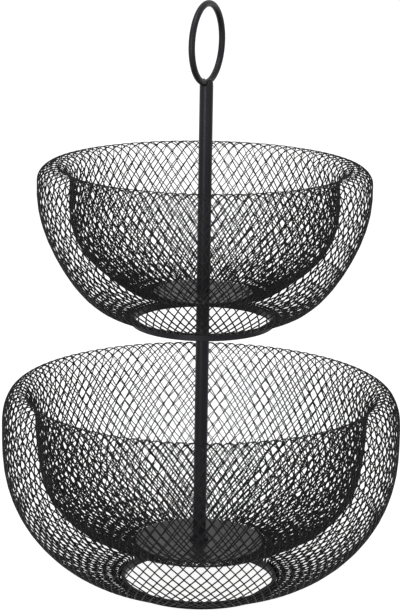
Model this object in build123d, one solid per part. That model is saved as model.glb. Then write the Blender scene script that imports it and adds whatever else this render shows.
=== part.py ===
from build123d import *
from math import degrees
import os

os.makedirs("parts", exist_ok=True)

# Two tier basket: two double walled mesh bowls on one centre rod with a ring handle.
# Origin at the centre of the lower base band on the table, +Z up, the front is -Y.

# Mesh walls. A plain grid of ribs and hoops stands in for the fine mesh: columns of windows round the
# axis, in rows on the outer and on the inner wall. Each curved stretch of wall is a few straight steps
mesh_thickness = 1.0
wall_steps = 8
lower_columns = 24
upper_columns = 20
window_rows = 3
window_steps = 12
hoop_width = 4.0
rib_width = 5.0

# Lower bowl, radii to the outside of the rolled rim, heights above the table
lower_rim_radius = 150.0
lower_rim_width = 26.0
lower_rim_top = 153.5
lower_rim_rise = 24.0
lower_foot_slope = 7.0
lower_outer_wall_shares = [(0.089, 0.009), (0.843, 0.411), (0.983, 0.706)]
lower_inner_wall_shares = [(0.032, 0.293), (0.083, 0.487), (0.306, 0.739), (0.641, 0.901)]

# Upper bowl
upper_rim_radius = 123.5
upper_rim_width = 25.0
upper_rim_top = 323.5
upper_rim_rise = 10.5
upper_foot_slope = 4.0
upper_outer_wall_shares = [(0.234, 0.035), (0.779, 0.415), (1.000, 0.899)]
upper_inner_wall_shares = [(-0.007, 0.190), (0.048, 0.460), (0.260, 0.696), (0.566, 0.869)]

# Base bands, flat steel bent into a hoop on edge
band_thickness = 3.0
band_height = 5.0
band_edge_radius = 0.5
band_seam_gap = 0.4
band_seam_turn = 246.5
lower_band_inner_radius = 56.5
upper_band_inner_radius = 50.5
upper_band_bottom = 204.0
foot_bend_radius = 1.5
foot_lap_gap = 0.6

# Plates in the bottom of each bowl
plate_thickness = 1.2
plate_edge_radius = 0.4
lower_plate_radius = 48.5
lower_plate_top = 33.5
upper_plate_radius = 37.0
upper_plate_top = 228.6
plate_lap = 4.0
plate_turn_run = 1.5

# Centre rods, both the same tube
rod_radius = 5.0
rod_wall = 1.0
rod_nose_width = 1.5
rod_nose_height = 5.0

# Collar that the lower rod stands in on its plate
collar_radius = 7.2
collar_height = 3.0
collar_edge_radius = 1.2
collar_clearance = 0.1

# Thread parts inside the rods, drawn as plain cylinders
thread_radius = 3.0
thread_clearance = 0.08
plate_hole_clearance = 0.3
insert_length = 16.0
insert_clearance = 0.08
stud_reach = 13.0

# Screw and washer under the lower plate
screw_head_radius = 5.5
screw_head_height = 3.4
screw_head_edge_radius = 0.9
screw_reach = 11.0
washer_radius = 6.0
washer_thickness = 1.2
drive_length = 5.6
drive_width = 1.1
drive_depth = 1.6

# Ring handle, turned from face on so that its left side is nearer
handle_wire_radius = 2.4
handle_outer_radius = 31.0
handle_bottom = 382.2
handle_turn = 67.5
rod_ear_height = 4.9
weld_gap = 0.15
weld_depth = 4.0

# One overrun for all cuts
overrun = 1.0

half_wall = mesh_thickness / 2
rod_bore_radius = rod_radius - rod_wall
insert_radius = rod_bore_radius - insert_clearance
thread_bore_radius = thread_radius + thread_clearance
plate_hole_radius = thread_radius + plate_hole_clearance
lower_plate_bottom = lower_plate_top - plate_thickness
upper_plate_bottom = upper_plate_top - plate_thickness
lower_band_outer_radius = lower_band_inner_radius + band_thickness
upper_band_outer_radius = upper_band_inner_radius + band_thickness
upper_band_top = upper_band_bottom + band_height
washer_bottom = lower_plate_bottom - washer_thickness
head_bottom = washer_bottom - screw_head_height
rod_top = handle_bottom + rod_ear_height
handle_ring_radius = handle_outer_radius - handle_wire_radius
handle_centre = handle_bottom + handle_outer_radius


# A solid cylinder between two heights
def pillar(radius, bottom, top):
    return Pos(0, 0, bottom) * Cylinder(radius, top - bottom, align=(Align.CENTER, Align.CENTER, Align.MIN))


# A tube or washer between two heights, its cut running past both ends
def sleeve(outer_radius, inner_radius, bottom, top):
    return pillar(outer_radius, bottom, top) - pillar(inner_radius, bottom - overrun, top + overrun)


# Points on a wall between its two ends, given as shares of the way across and of the way up
def share_points(start, end, shares):
    across = end[0] - start[0]
    along = end[1] - start[1]
    return [(start[0] + a * across, start[1] + b * along) for a, b in shares]


# The centre line of one bowl's wall: out and up, over the rolled rim, down to the plate and under it
def bowl_line(foot, foot_slope, rim_radius, rim_width, rim_top, rim_rise, outer_shares,
              plate_radius, plate_bottom, inner_shares):
    outer_radius = rim_radius - half_wall
    roll_radius = rim_width / 2 - half_wall
    roll_centre = outer_radius - roll_radius
    roll_height = rim_top - half_wall - rim_rise
    outer_end = (outer_radius, roll_height)
    inner_start = (roll_centre - roll_radius, roll_height)
    hem_height = plate_bottom - half_wall
    hem_start = (plate_radius + plate_turn_run, hem_height)
    hem_end = (plate_radius - plate_lap, hem_height)
    foot_direction = Vector(1, 0).rotate(Axis.Z, foot_slope)
    outer_points = share_points(foot, outer_end, outer_shares)
    inner_points = share_points(inner_start, hem_start, inner_shares)
    return [
        Spline(foot, *outer_points, outer_end, tangents=[foot_direction, (0, 1)]),
        EllipticalCenterArc((roll_centre, roll_height), roll_radius, rim_rise, start_angle=0, arc_size=180),
        Spline(inner_start, *inner_points, hem_start, tangents=[(0, -1), (-1, 0)]),
        Line(hem_start, hem_end),
    ]


# A point beside a line, moved sideways from it by an amount
def beside(place, direction, amount):
    return place + direction.rotate(Axis.Z, 90) * amount


# The points of one face of the wall, each beside the centre line by half the thickness
def wall_face(line, side):
    points = []
    for stretch in line:
        steps = 1 if stretch.geom_type in (GeomType.LINE, GeomType.CIRCLE) else wall_steps
        points += [beside(stretch @ (step / steps), stretch % (step / steps), side) for step in range(steps)]
    return points + [beside(line[-1] @ 1, line[-1] % 1, side)]


# The windows in a wall's section, each a flat piece across the wall. They stand in rows between the
# foot, the top of the rim and the plate, with a hoop left at both ends of each
def wall_windows(climb, rim, descent):
    wire = Wire([climb, rim, descent])
    rim_middle = climb.length + rim.length / 2
    plate_hoop = wire.length - hoop_width / 2
    windows = []
    for start, end in ((hoop_width / 2, rim_middle), (rim_middle, plate_hoop)):
        for row in range(window_rows):
            low = start + (end - start) * row / window_rows + hoop_width / 2
            high = start + (end - start) * (row + 1) / window_rows - hoop_width / 2
            places = [low + (high - low) * step / window_steps for step in range(window_steps + 1)]
            middle = [wire.position_at(place, PositionMode.LENGTH) for place in places]
            course = [wire.tangent_at(place, PositionMode.LENGTH) for place in places]
            inside = [beside(*pair, half_wall + overrun) for pair in zip(middle, course)]
            outside = [beside(*pair, -half_wall - overrun) for pair in zip(middle, course)]
            windows.append(make_face(Polyline(*inside, *reversed(outside), close=True)))
    return windows


# A wall of even thickness round the axis from its centre line. One sector with its windows is cut, and
# its faces, without the two flat ends where the copies meet, are repeated round the axis
def turned_wall(line, windows, columns, rim_radius):
    outline = Polyline(*wall_face(line, -half_wall), *reversed(wall_face(line, half_wall)), close=True)
    section = Plane.XZ * make_face(outline)
    turn = 360 / columns
    rib_turn = degrees(rib_width / rim_radius)
    sector = revolve(section, axis=Axis.Z, revolution_arc=turn)
    for window in windows:
        opening = revolve(Plane.XZ * window, axis=Axis.Z, revolution_arc=turn - rib_turn)
        sector -= Rot(0, 0, rib_turn / 2) * opening
    flat_ends = sector.faces().filter_by(GeomType.PLANE).sort_by(SortBy.AREA)[-2:]
    skin = [face for face in sector.faces() if face not in flat_ends]
    return Solid(Shell([Rot(0, 0, turn * copy) * face for copy in range(columns) for face in skin]))


# A flat steel hoop with softened edges and a fine seam where its two ends meet
def base_band(inner_radius, bottom):
    hoop = sleeve(inner_radius + band_thickness, inner_radius, bottom, bottom + band_height)
    hoop = fillet(hoop.edges().filter_by(GeomType.CIRCLE), band_edge_radius)
    cut = Box(band_thickness + overrun * 2, band_seam_gap, band_height + overrun * 2)
    middle = Pos(inner_radius + band_thickness / 2, 0, bottom + band_height / 2)
    return hoop - Rot(0, 0, band_seam_turn) * middle * cut


# A round plate with a softened rim and a hole for the thread in its middle
def bowl_plate(radius, bottom):
    plate = pillar(radius, bottom, bottom + plate_thickness)
    plate = fillet(plate.edges().filter_by(GeomType.CIRCLE), plate_edge_radius)
    return plate - pillar(plate_hole_radius, bottom - overrun, bottom + plate_thickness + overrun)


# The collar round the foot of the lower rod, its upper edge rounded
def rod_collar():
    collar_top = lower_plate_top + collar_height
    collar = sleeve(collar_radius, rod_radius + collar_clearance, lower_plate_top, collar_top)
    upper_edges = collar.edges().filter_by(GeomType.CIRCLE).group_by(Axis.Z)[-1]
    return fillet(upper_edges.sort_by(SortBy.RADIUS)[-1], collar_edge_radius)


# A threaded plug that is pressed into the end of a rod
def rod_insert(bottom):
    return sleeve(insert_radius, thread_bore_radius, bottom, bottom + insert_length)


# The wire ring of the handle, or the groove that it leaves with a clearance
def handle_wire(clearance):
    ring = Torus(handle_ring_radius, handle_wire_radius + clearance)
    return Pos(0, 0, handle_centre) * Rot(0, 0, handle_turn) * Rot(90, 0, 0) * ring


# Lower bowl: its wall starts as a hem up the outside of the band, bends out and climbs
def lower_mesh_bowl():
    lap_radius = lower_band_outer_radius + foot_lap_gap + half_wall
    bend_start = (lap_radius, band_height)
    hem = Line((lap_radius, half_wall), bend_start)
    bend = JernArc(bend_start, (0, 1), foot_bend_radius, lower_foot_slope - 90)
    foot = ((bend @ 1).X, (bend @ 1).Y)
    wall = bowl_line(foot, lower_foot_slope, lower_rim_radius, lower_rim_width, lower_rim_top,
                     lower_rim_rise, lower_outer_wall_shares, lower_plate_radius, lower_plate_bottom,
                     lower_inner_wall_shares)
    return turned_wall([hem, bend] + wall, wall_windows(*wall[:3]), lower_columns, lower_rim_radius)


# Upper bowl: its wall starts on top of the band, so the band shows below it
def upper_mesh_bowl():
    foot = (upper_band_outer_radius - half_wall - band_edge_radius, upper_band_top + half_wall)
    wall = bowl_line(foot, upper_foot_slope, upper_rim_radius, upper_rim_width, upper_rim_top,
                     upper_rim_rise, upper_outer_wall_shares, upper_plate_radius, upper_plate_bottom,
                     upper_inner_wall_shares)
    return turned_wall(wall, wall_windows(*wall[:3]), upper_columns, upper_rim_radius)


# Screw from below through the lower plate into the rod, with a cross recess in its head
def base_screw():
    head = pillar(screw_head_radius, head_bottom, washer_bottom)
    lower_edge = head.edges().filter_by(GeomType.CIRCLE).sort_by(Axis.Z)[0]
    head = fillet(lower_edge, screw_head_edge_radius)
    arm = Box(drive_length, drive_width, drive_depth * 2)
    recess = Pos(0, 0, head_bottom) * (arm + Rot(0, 0, 90) * arm)
    shank = pillar(thread_radius, washer_bottom, lower_plate_top + screw_reach)
    return head - recess + shank


# Stud that joins the two rods through the upper plate
def joining_stud():
    return pillar(thread_radius, upper_plate_bottom - stud_reach, upper_plate_top + stud_reach)


# The slot for the ring in the rod's end: a groove for the wire with straight sides above it
def handle_slot():
    slot_width = (handle_wire_radius + weld_gap) * 2
    stand = (Align.CENTER, Align.CENTER, Align.MIN)
    sides = Box(rod_radius * 2 + overrun, slot_width, rod_ear_height, align=stand)
    wire_height = Pos(0, 0, handle_bottom + handle_wire_radius)
    return handle_wire(weld_gap) + wire_height * Rot(0, 0, handle_turn) * sides


# The upper rod's outside as a solid bar, its end drawn in to a rounded nose
def nosed_bar():
    nose_start = rod_top - rod_nose_height
    flat_radius = rod_radius - rod_nose_width
    foot = Polyline((0, rod_top), (0, upper_plate_top), (rod_radius, upper_plate_top),
                    (rod_radius, nose_start))
    nose = EllipticalCenterArc((flat_radius, nose_start), rod_nose_width, rod_nose_height,
                               start_angle=0, arc_size=90)
    tip = Line((flat_radius, rod_top), (0, rod_top))
    return revolve(Plane.XZ * make_face([foot, nose, tip]), axis=Axis.Z)


# Upper rod: a tube whose end is split by the slot into two ears beside the ring
def upper_rod():
    return nosed_bar() - pillar(rod_bore_radius, upper_plate_top - overrun, rod_top + overrun) - handle_slot()


# Weld that fills the tube's mouth under the ring and behind both ears
def handle_weld():
    fill = pillar(rod_bore_radius - weld_gap, handle_bottom - weld_depth, rod_top)
    return (nosed_bar() & fill) - handle_slot()


pieces = {
    "lower_base_band": base_band(lower_band_inner_radius, 0),
    "lower_mesh_bowl": lower_mesh_bowl(),
    "lower_plate": bowl_plate(lower_plate_radius, lower_plate_bottom),
    "base_washer": sleeve(washer_radius, plate_hole_radius, washer_bottom, lower_plate_bottom),
    "base_screw": base_screw(),
    "lower_rod": sleeve(rod_radius, rod_bore_radius, lower_plate_top, upper_plate_bottom),
    "rod_collar": rod_collar(),
    "lower_rod_foot_insert": rod_insert(lower_plate_top),
    "lower_rod_top_insert": rod_insert(upper_plate_bottom - insert_length),
    "joining_stud": joining_stud(),
    "upper_plate": bowl_plate(upper_plate_radius, upper_plate_bottom),
    "upper_base_band": base_band(upper_band_inner_radius, upper_band_bottom),
    "upper_mesh_bowl": upper_mesh_bowl(),
    "upper_rod_insert": rod_insert(upper_plate_top),
    "upper_rod": upper_rod(),
    "handle_weld": handle_weld(),
    "handle_ring": handle_wire(0),
}

for node, shape in pieces.items():
    export_step(shape, f"parts/{node}.step")
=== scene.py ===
import math

import bmesh
import bpy
import numpy as np
from mathutils import Matrix, Vector, noise


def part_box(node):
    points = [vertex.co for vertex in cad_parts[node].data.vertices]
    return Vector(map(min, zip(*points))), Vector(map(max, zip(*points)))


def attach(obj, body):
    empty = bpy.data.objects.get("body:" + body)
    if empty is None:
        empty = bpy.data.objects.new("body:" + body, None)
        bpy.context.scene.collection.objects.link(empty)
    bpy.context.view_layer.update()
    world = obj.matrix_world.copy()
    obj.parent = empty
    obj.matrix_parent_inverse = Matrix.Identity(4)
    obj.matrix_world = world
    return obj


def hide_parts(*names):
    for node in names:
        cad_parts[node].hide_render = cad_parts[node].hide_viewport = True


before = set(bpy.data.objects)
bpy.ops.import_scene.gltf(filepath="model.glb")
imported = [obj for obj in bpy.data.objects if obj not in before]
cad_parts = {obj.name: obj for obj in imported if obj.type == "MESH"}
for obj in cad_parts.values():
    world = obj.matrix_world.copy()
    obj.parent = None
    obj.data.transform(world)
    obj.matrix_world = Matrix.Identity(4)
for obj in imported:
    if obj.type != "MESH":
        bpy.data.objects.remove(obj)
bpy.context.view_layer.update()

# Camera. It stands 1.56 m in front of the rod with a long lens, looks down a little and leans by
# under a degree, as the photograph does.
camera = bpy.data.objects.new("camera", bpy.data.cameras.new("camera"))
bpy.context.scene.collection.objects.link(camera)
bpy.context.scene.camera = camera
camera.data.lens = 127.07
camera_place = Vector((-0.0022, -1.5605, 0.6008))
camera_tilt = math.radians(90 - 13.795)
camera_lean = math.radians(0.9)
camera.matrix_world = (
    Matrix.Translation(camera_place)
    @ Matrix.Rotation(camera_tilt, 4, "X")
    @ Matrix.Rotation(camera_lean, 4, "Z")
)

# Studio. A wide white floor that keeps the basket's shadow, a white surround that lights evenly, and
# four soft lamps that give the black coat its highlights.
bpy.context.scene.view_settings.view_transform = "Standard"
floor_mesh = bmesh.new()
floor_reach = 12.0
bmesh.ops.create_grid(floor_mesh, x_segments=1, y_segments=1, size=floor_reach)
floor = bpy.data.objects.new("studio_floor", bpy.data.meshes.new("studio_floor"))
floor_mesh.to_mesh(floor.data)
bpy.context.scene.collection.objects.link(floor)
floor_paint = bpy.data.materials.new("studio_white")
floor_paint.use_nodes = True
nodes, links = floor_paint.node_tree.nodes, floor_paint.node_tree.links
nodes.clear()
floor_matt = nodes.new("ShaderNodeBsdfDiffuse")
floor_grey = (0.3, 0.3, 0.3, 1)
floor_matt.inputs["Color"].default_value = floor_grey
floor_rays = nodes.new("ShaderNodeLightPath")
floor_seen = nodes.new("ShaderNodeMath")
floor_seen.operation = "MAXIMUM"
links.new(floor_rays.outputs["Is Camera Ray"], floor_seen.inputs[0])
floor_mirrored = nodes.new("ShaderNodeMath")
floor_mirrored.operation = "MAXIMUM"
links.new(floor_rays.outputs["Is Glossy Ray"], floor_mirrored.inputs[0])
links.new(floor_rays.outputs["Is Transmission Ray"], floor_mirrored.inputs[1])
links.new(floor_mirrored.outputs[0], floor_seen.inputs[1])
floor_place = nodes.new("ShaderNodeTexCoord")
floor_distance = nodes.new("ShaderNodeVectorMath")
floor_distance.operation = "LENGTH"
links.new(floor_place.outputs["Object"], floor_distance.inputs[0])
floor_white = nodes.new("ShaderNodeMapRange")
floor_white.interpolation_type = "SMOOTHSTEP"
shadow_reach, white_reach, shadow_white = 0.3, 1.8, 0.92
floor_white.inputs["From Min"].default_value = shadow_reach
floor_white.inputs["From Max"].default_value = white_reach
floor_white.inputs["To Min"].default_value = shadow_white
floor_white.inputs["To Max"].default_value = 1.0
links.new(floor_distance.outputs["Value"], floor_white.inputs["Value"])
floor_level = nodes.new("ShaderNodeMath")
floor_level.operation = "MULTIPLY"
links.new(floor_white.outputs["Result"], floor_level.inputs[0])
links.new(floor_seen.outputs[0], floor_level.inputs[1])
floor_glow = nodes.new("ShaderNodeEmission")
links.new(floor_level.outputs[0], floor_glow.inputs["Strength"])
floor_sum = nodes.new("ShaderNodeAddShader")
links.new(floor_matt.outputs[0], floor_sum.inputs[0])
links.new(floor_glow.outputs[0], floor_sum.inputs[1])
floor_out = nodes.new("ShaderNodeOutputMaterial")
links.new(floor_sum.outputs[0], floor_out.inputs["Surface"])
floor.data.materials.append(floor_paint)

world = bpy.data.worlds.new("surround")
bpy.context.scene.world = world
world.use_nodes = True
nodes, links = world.node_tree.nodes, world.node_tree.links
nodes.clear()
surround_level = 0.36
surround_rays = nodes.new("ShaderNodeLightPath")
surround_seen = nodes.new("ShaderNodeMath")
surround_seen.operation = "MAXIMUM"
surround_mirrored = nodes.new("ShaderNodeMath")
surround_mirrored.operation = "MAXIMUM"
links.new(surround_rays.outputs["Is Glossy Ray"], surround_mirrored.inputs[0])
links.new(surround_rays.outputs["Is Transmission Ray"], surround_mirrored.inputs[1])
links.new(surround_rays.outputs["Is Camera Ray"], surround_seen.inputs[0])
links.new(surround_mirrored.outputs[0], surround_seen.inputs[1])
surround_strength = nodes.new("ShaderNodeMapRange")
surround_strength.inputs["To Min"].default_value = surround_level
surround_strength.inputs["To Max"].default_value = 1.0
links.new(surround_seen.outputs[0], surround_strength.inputs["Value"])
surround_white = nodes.new("ShaderNodeBackground")
surround_white.inputs["Color"].default_value = (1, 1, 1, 1)
links.new(surround_strength.outputs["Result"], surround_white.inputs["Strength"])
surround_out = nodes.new("ShaderNodeOutputWorld")
links.new(surround_white.outputs[0], surround_out.inputs["Surface"])


def soft_lamp(name, place, aim, size, power):
    lamp = bpy.data.objects.new(name, bpy.data.lights.new(name, "AREA"))
    lamp.data.shape = "RECTANGLE"
    lamp.data.size, lamp.data.size_y = size
    lamp.data.energy = power
    lamp.location = place
    lamp.rotation_mode = "QUATERNION"
    lamp.rotation_quaternion = (Vector(aim) - Vector(place)).to_track_quat("-Z", "Y")
    bpy.context.scene.collection.objects.link(lamp)


soft_lamp("key_lamp", (-0.72, -2.0, 0.75), (0, 0, 0.22), (0.62, 1.2), 20)
soft_lamp("low_lamp", (-0.5, -1.25, 0.15), (0, 0, 0.2), (0.25, 0.28), 4.5)
soft_lamp("side_lamp", (1.35, -1.6, 0.8), (0, 0, 0.2), (0.6, 1.2), 7)
soft_lamp("top_lamp", (-0.2, -0.4, 1.7), (0, 0, 0.2), (0.9, 0.9), 16)

# Base bands. Each bowl stands on a hoop of flat steel strip, rolled and butted at a seam, which the mesh
# is spot welded to. It has the baked matt black powder coat of the whole basket, with a fine orange
# peel and a slightly uneven gloss.
cloud_scale = 35
cloud_darkest, cloud_palest = 0.8, 1.25
gloss_spread = 0.05
peel_strength = 0.35


def powder_coat(name, colour, roughness, gloss, peel_scale, peel_depth):
    paint = bpy.data.materials.new(name)
    paint.use_nodes = True
    nodes, links = paint.node_tree.nodes, paint.node_tree.links
    coat = nodes["Principled BSDF"]
    coat.inputs["Specular IOR Level"].default_value = gloss
    place = nodes.new("ShaderNodeTexCoord")
    cloud = nodes.new("ShaderNodeTexNoise")
    cloud.inputs["Scale"].default_value = cloud_scale
    cloud.inputs["Detail"].default_value = 3
    links.new(place.outputs["Object"], cloud.inputs["Vector"])
    tint = nodes.new("ShaderNodeMix")
    tint.data_type = "RGBA"
    tint.inputs[6].default_value = [c * cloud_darkest for c in colour] + [1]
    tint.inputs[7].default_value = [c * cloud_palest for c in colour] + [1]
    links.new(cloud.outputs["Fac"], tint.inputs[0])
    links.new(tint.outputs[2], coat.inputs["Base Color"])
    shine = nodes.new("ShaderNodeMapRange")
    shine.inputs["To Min"].default_value = roughness - gloss_spread
    shine.inputs["To Max"].default_value = roughness + gloss_spread
    links.new(cloud.outputs["Fac"], shine.inputs["Value"])
    links.new(shine.outputs["Result"], coat.inputs["Roughness"])
    peel = nodes.new("ShaderNodeTexNoise")
    peel.inputs["Scale"].default_value = peel_scale
    peel.inputs["Detail"].default_value = 2
    links.new(place.outputs["Object"], peel.inputs["Vector"])
    bump = nodes.new("ShaderNodeBump")
    bump.inputs["Strength"].default_value = peel_strength
    bump.inputs["Distance"].default_value = peel_depth
    links.new(peel.outputs["Fac"], bump.inputs["Height"])
    links.new(bump.outputs["Normal"], coat.inputs["Normal"])
    return paint


def dress(node, paint):
    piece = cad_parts[node]
    piece.data.materials.clear()
    piece.data.materials.append(paint)


steel_black = (0.0104, 0.0102, 0.0126)
steel_coat = powder_coat("coat_on_steel", steel_black, roughness=0.38, gloss=0.13, peel_scale=900,
                         peel_depth=0.0004)
dress("lower_base_band", steel_coat)
dress("upper_base_band", steel_coat)

# Bowl plates. A flat disc of sheet steel closes the bottom of each bowl over the edge of the mesh. The
# coat lies smoother on the flat sheet, so that the plate mirrors the rod and the pale wall faintly.
plate_black = (0.014, 0.014, 0.0145)
plate_coat = powder_coat("coat_on_plate", plate_black, roughness=0.3, gloss=0.5, peel_scale=500,
                         peel_depth=0.0002)
dress("lower_plate", plate_coat)
dress("upper_plate", plate_coat)

# Screw, washer, studs and inserts. Zinc-plated steel with a fine mottle, turned or pressed, pushed into
# the rods or screwed in, with only the screw's head and the washer in sight from below.
zinc = bpy.data.materials.new("zinc_plate")
zinc.use_nodes = True
nodes, links = zinc.node_tree.nodes, zinc.node_tree.links
plating = nodes["Principled BSDF"]
plating.inputs["Metallic"].default_value = 1.0
zinc_place = nodes.new("ShaderNodeTexCoord")
mottle = nodes.new("ShaderNodeTexNoise")
mottle.inputs["Scale"].default_value = 600
mottle.inputs["Detail"].default_value = 4
links.new(zinc_place.outputs["Object"], mottle.inputs["Vector"])
zinc_tint = nodes.new("ShaderNodeMix")
zinc_tint.data_type = "RGBA"
zinc_tint.inputs[6].default_value = (0.46, 0.47, 0.48, 1)
zinc_tint.inputs[7].default_value = (0.66, 0.66, 0.64, 1)
links.new(mottle.outputs["Fac"], zinc_tint.inputs[0])
links.new(zinc_tint.outputs[2], plating.inputs["Base Color"])
zinc_shine = nodes.new("ShaderNodeMapRange")
zinc_shine.inputs["To Min"].default_value = 0.28
zinc_shine.inputs["To Max"].default_value = 0.42
links.new(mottle.outputs["Fac"], zinc_shine.inputs["Value"])
links.new(zinc_shine.outputs["Result"], plating.inputs["Roughness"])
for node in ("base_screw", "base_washer", "joining_stud", "lower_rod_foot_insert", "lower_rod_top_insert",
             "upper_rod_insert"):
    dress(node, zinc)

# Rods, collar and ring. A steel tube stands on each plate, the lower one in a small collar, and the
# upper one ends in a round nose with a notch, where the ring of bent wire is welded in.
for node in ("lower_rod", "rod_collar", "upper_rod", "handle_ring"):
    dress(node, steel_coat)
weld_coat = powder_coat("coat_on_weld", steel_black, roughness=0.44, gloss=0.16, peel_scale=300,
                        peel_depth=0.0016)
dress("handle_weld", weld_coat)

# Mesh bowls. Each is one sleeve of slit and stretched steel: a tube of diamond mesh that is drawn over
# a former as the outer wall, rolled over at the rim and pushed down inside to the plate.
mesh_black = (0.007, 0.007, 0.0073)
mesh_coat = powder_coat("coat_on_mesh", mesh_black, roughness=0.5, gloss=0.08, peel_scale=1500,
                        peel_depth=0.0003)
wall = 0.0005
strand_length = 0.00722
knuckle_share = 0.06
base_swell = 0.8
foot_full, foot_end = 0.0375, 0.0625
rim_start, rim_end, sharp_bend = 0.1, 0.8, 25
sway_pace, sway_climb, sway_fade = 1.5, 6, 0.02
sway_height, sway_turn = 0.0016, 0.9
crease = math.radians(40)
same_place = 1e-6
plate_gap, plate_lap = 0.0015, 0.0055
# The unevenness takes a start value, or else it comes from the clock and differs from run to run.
sway_seed = 7
noise.seed_set(sway_seed)


def smooth_path(points, first, last, steps):
    """A smooth curve through the points that leaves and arrives in the given directions."""
    p = np.array(points)
    t = np.concatenate([[0], np.cumsum(np.hypot(*np.diff(p, axis=0).T))])
    count = len(p)
    weights = np.eye(count)
    slopes = np.zeros((count, 2))
    slopes[0], slopes[-1] = first, last
    for i in range(1, count - 1):
        before, after = t[i] - t[i - 1], t[i + 1] - t[i]
        weights[i, i - 1:i + 2] = after, 2 * (before + after), before
        slopes[i] = 3 * (after * (p[i] - p[i - 1]) / before + before * (p[i + 1] - p[i]) / after)
    slopes = np.linalg.solve(weights, slopes)
    path = []
    for i in range(count - 1):
        span = t[i + 1] - t[i]
        for u in np.linspace(0, 1, steps, endpoint=False):
            path.append(
                (1 + 2 * u) * (1 - u) ** 2 * p[i] + u * (1 - u) ** 2 * span * slopes[i]
                + u * u * (3 - 2 * u) * p[i + 1] - u * u * (1 - u) * span * slopes[i + 1]
            )
    return path


def by_shares(start, end, shares):
    """Points between two ends, as shares of the way across and of the way up."""
    return [(start[0] + a * (end[0] - start[0]), start[1] + b * (end[1] - start[1])) for a, b in shares]


def wall_path(foot, foot_slope, rim_radius, rim_width, rim_top, rim_rise, outer_shares, plate_edge,
              inner_shares, plate_lap):
    """The middle of the wall as radius and height, from the band over the rim and down to the plate."""
    roll = rim_width / 2
    spring = rim_top - rim_rise
    outer_end = (rim_radius, spring)
    inner_start = (rim_radius - 2 * roll, spring)
    slope = (math.cos(foot_slope), math.sin(foot_slope))
    outer = [foot[-1]] + by_shares(foot[-1], outer_end, outer_shares) + [outer_end]
    inner = [inner_start] + by_shares(inner_start, plate_edge, inner_shares) + [plate_edge]
    path = list(foot[:-1]) + smooth_path(outer, slope, (0, 1), 40)
    for turn in np.linspace(0, math.pi, 60, endpoint=False):
        path.append((rim_radius - roll + roll * math.cos(turn), spring + rim_rise * math.sin(turn)))
    path += smooth_path(inner, (0, -1), (-1, 0), 40)
    path += [plate_edge, (plate_edge[0] - plate_lap, plate_edge[1])]
    return np.array(path)


def mesh_sleeve(columns, rows, length, radius, drawn_at, roll_from, roll_to, strand_thickness):
    """A straight tube of diamond mesh with cut-out cells, its strands as wide all along as drawn_at asks."""
    sleeve = bmesh.new()
    bmesh.ops.create_cone(sleeve, cap_ends=False, segments=columns, radius1=radius, radius2=radius,
                          depth=length)
    bmesh.ops.translate(sleeve, verts=sleeve.verts, vec=(0, 0, length / 2))
    uprights = [e for e in sleeve.edges if abs(e.verts[0].co.z - e.verts[1].co.z) > length / 2]
    bmesh.ops.subdivide_edges(sleeve, edges=uprights, cuts=rows - 1, use_grid_fill=True)
    blank_edges = sleeve.edges[:]
    bmesh.ops.poke(sleeve, faces=sleeve.faces[:])
    bmesh.ops.dissolve_edges(sleeve, edges=[e for e in blank_edges if not e.is_boundary], use_verts=False)
    half_cell, half_row = math.pi * radius / columns, length / rows / 2
    cells = {}
    for cell in sleeve.faces:
        cells.setdefault(round(cell.calc_center_bounds().z / half_row), []).append(cell)
    rolled = [e for e in sleeve.edges if roll_from < (e.verts[0].co.z + e.verts[1].co.z) / 2 < roll_to]
    bmesh.ops.bisect_edges(sleeve, edges=rolled, cuts=2)
    for level, ring in cells.items():
        drawn_cell, drawn_row, width = drawn_at(level * half_row)
        spread = drawn_cell * drawn_row / half_cell / half_row
        inset = width / 2 * math.hypot(drawn_cell, drawn_row) / math.hypot(half_cell, half_row) / spread
        bmesh.ops.inset_individual(sleeve, faces=ring, thickness=inset, use_even_offset=True)
        for cell in ring:
            middle = cell.calc_center_bounds()
            for v in cell.verts:
                if abs(v.co.z - middle.z) > half_row / 2 and level * half_row > 0:
                    ends = max(abs(u.co.z - middle.z) for u in cell.verts)
                    if abs(abs(v.co.z - middle.z) - ends) < ends / 100:
                        v.co.z += (middle.z - v.co.z) * knuckle_share
    bmesh.ops.delete(sleeve, geom=[cell for ring in cells.values() for cell in ring], context="FACES")
    bmesh.ops.solidify(sleeve, geom=sleeve.faces[:], thickness=strand_thickness)
    return sleeve


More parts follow.
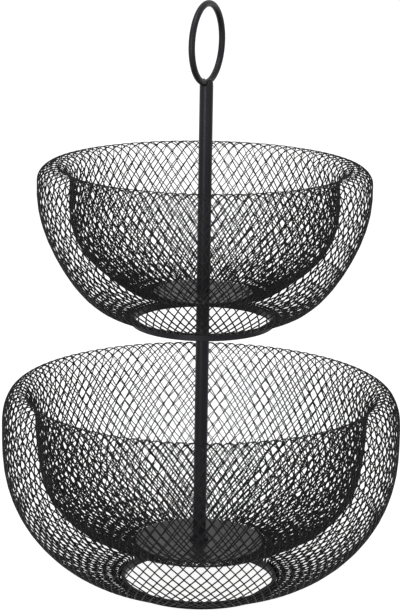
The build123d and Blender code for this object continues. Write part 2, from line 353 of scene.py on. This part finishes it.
def draw_bowl(name, node, path, columns, strand_width, strand_thickness, foot_swell, sway):
    """The sleeve drawn onto the wall: its height follows the path and its tube the circle. The strands
    keep their length, so that the cells get lower where the bowl is wider. They stay wider where the
    sleeve is stretched less, towards the base and most at the foot."""
    steps = np.hypot(*np.diff(path, axis=0).T)
    path = path[np.concatenate([[True], steps > 1e-7])]
    along = np.concatenate([[0], np.cumsum(np.hypot(*np.diff(path, axis=0).T))])
    length, radius = along[-1], path[:, 0].max()
    course = np.gradient(path, along, axis=0)
    course /= np.hypot(*course.T)[:, None]
    half_cells = math.pi * path[:, 0] / columns
    half_rows = np.sqrt(strand_length ** 2 - half_cells ** 2)
    counted = np.concatenate([[0], np.cumsum(np.diff(along) / (half_rows[1:] + half_rows[:-1]) * 2)])
    rows = round(counted[-1] / 2)
    raised = counted / counted[-1] * length
    turn = np.abs(np.gradient(np.unwrap(np.arctan2(course[:, 1], course[:, 0])), along))
    bent = raised[(turn > sharp_bend) & (along > rim_start * length) & (along < rim_end * length)]
    foot = np.clip((foot_end - along) / (foot_end - foot_full), 0, 1)
    widths = strand_width * (1 + base_swell * (1 - path[:, 0] / radius) + foot_swell * foot)

    def drawn_at(height):
        return [np.interp(height, raised, drawn) for drawn in (half_cells, half_rows, widths)]

    sleeve = mesh_sleeve(columns, rows, length, radius, drawn_at, bent.min(), bent.max(), strand_thickness)
    middle = np.mean([math.hypot(v.co.x, v.co.y) for v in sleeve.verts])
    for v in sleeve.verts:
        angle = math.atan2(v.co.y, v.co.x)
        lift = math.hypot(v.co.x, v.co.y) - middle
        spot = Vector((math.cos(angle), math.sin(angle), v.co.z * sway_climb))
        drift = noise.noise_vector(spot * sway_pace + sway)
        edge = min(1.0, v.co.z / sway_fade, (length - v.co.z) / sway_fade)
        height = min(max(v.co.z + drift.x * edge * sway_height, 0), length)
        angle += drift.y * edge * sway_turn * math.pi / columns
        r, z = (np.interp(height, raised, path[:, k]) for k in (0, 1))
        course_r, course_z = (np.interp(height, raised, course[:, k]) for k in (0, 1))
        r += course_z * lift
        z -= course_r * lift
        v.co = (r * math.cos(angle), r * math.sin(angle), z)
    bmesh.ops.remove_doubles(sleeve, verts=sleeve.verts, dist=same_place)
    bmesh.ops.recalc_face_normals(sleeve, faces=sleeve.faces)
    bowl = bpy.data.objects.new(name, bpy.data.meshes.new(name))
    sleeve.to_mesh(bowl.data)
    bowl.data.polygons.foreach_set("use_smooth", [True] * len(bowl.data.polygons))
    bowl.data.set_sharp_from_angle(angle=crease)
    bowl.data.materials.append(mesh_coat)
    bpy.context.scene.collection.objects.link(bowl)
    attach(bowl, "basket")
    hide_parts(node)


# The lower mesh laps round its band, down to the table, and starts out almost level above it.
lower_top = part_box("lower_mesh_bowl")[1].z
band_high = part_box("lower_base_band")[1]
plate_low, plate_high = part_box("lower_plate")
band_gap = 0.0006
lap_radius = band_high.x + band_gap + wall
bend, bend_turn = 0.0015, math.radians(83)
lower_foot = [(lap_radius, wall), (lap_radius, band_high.z)]
for turn in np.linspace(0, bend_turn, 6)[1:]:
    lower_foot.append((lap_radius + bend * (1 - math.cos(turn)), band_high.z + bend * math.sin(turn)))
lower_path = wall_path(
    foot=lower_foot, foot_slope=math.radians(7), rim_radius=0.150 - wall, rim_width=0.025,
    rim_top=lower_top - wall, rim_rise=0.024,
    outer_shares=[(0.089, 0.009), (0.843, 0.411), (0.983, 0.706)],
    plate_edge=(plate_high.x + plate_gap, plate_low.z - wall),
    inner_shares=[(0.032, 0.293), (0.083, 0.487), (0.306, 0.739), (0.641, 0.901)], plate_lap=plate_lap)
draw_bowl("lower_mesh", "lower_mesh_bowl", lower_path, columns=103, strand_width=0.000415,
          strand_thickness=0.00075, foot_swell=0.2, sway=Vector((3, 1, 2)))

# The upper mesh lies on top of its band.
upper_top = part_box("upper_mesh_bowl")[1].z
band_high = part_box("upper_base_band")[1]
plate_low, plate_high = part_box("upper_plate")
upper_path = wall_path(
    foot=[(band_high.x - 0.001, band_high.z + wall)], foot_slope=math.radians(4), rim_radius=0.1235 - wall,
    rim_width=0.024, rim_top=upper_top - wall, rim_rise=0.0105,
    outer_shares=[(0.234, 0.035), (0.779, 0.415), (1.000, 0.899)],
    plate_edge=(plate_high.x + plate_gap, plate_low.z - wall),
    inner_shares=[(-0.007, 0.190), (0.048, 0.460), (0.260, 0.696), (0.566, 0.869)], plate_lap=plate_lap)
draw_bowl("upper_mesh", "upper_mesh_bowl", upper_path, columns=87, strand_width=0.000375,
          strand_thickness=0.00064, foot_swell=0.95, sway=Vector((7, 4, 5)))
